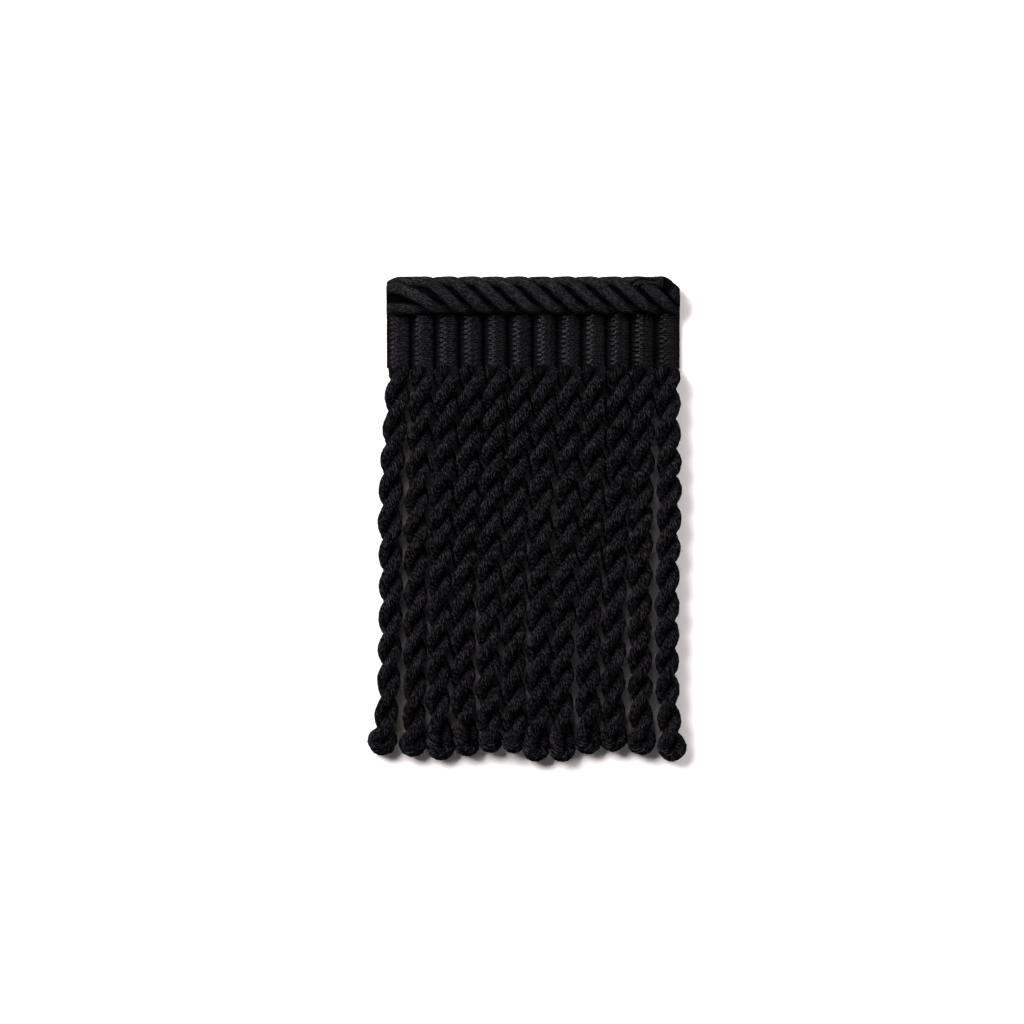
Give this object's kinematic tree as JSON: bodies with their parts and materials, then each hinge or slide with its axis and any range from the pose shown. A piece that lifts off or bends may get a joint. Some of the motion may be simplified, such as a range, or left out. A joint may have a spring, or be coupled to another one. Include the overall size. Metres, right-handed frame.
{
  "type": "bullion fringe",
  "caption": "Cut length of black bullion fringe: a ribbed woven heading with a twisted cord along its top edge and twisted, looped cords hanging below, lying flat face up.",
  "frame": {"origin": "centre of the heading band's flat back face", "axes": "+X along the trimming, +Y towards its corded top edge, +Z out of its face, with the bullions hanging towards -Y"},
  "size_m": [0.0992, 0.1523, 0.0084],
  "materials": {
    "fringe_yarn": "matt black twisted yarn with a faint sheen",
    "cord_yarn": "smooth black twisted yarn with a faint sheen"
  },
  "bodies": {
    "root": {"fringe": "fringe_yarn", "edge_cord": "cord_yarn"}
  },
  "joints": []
}
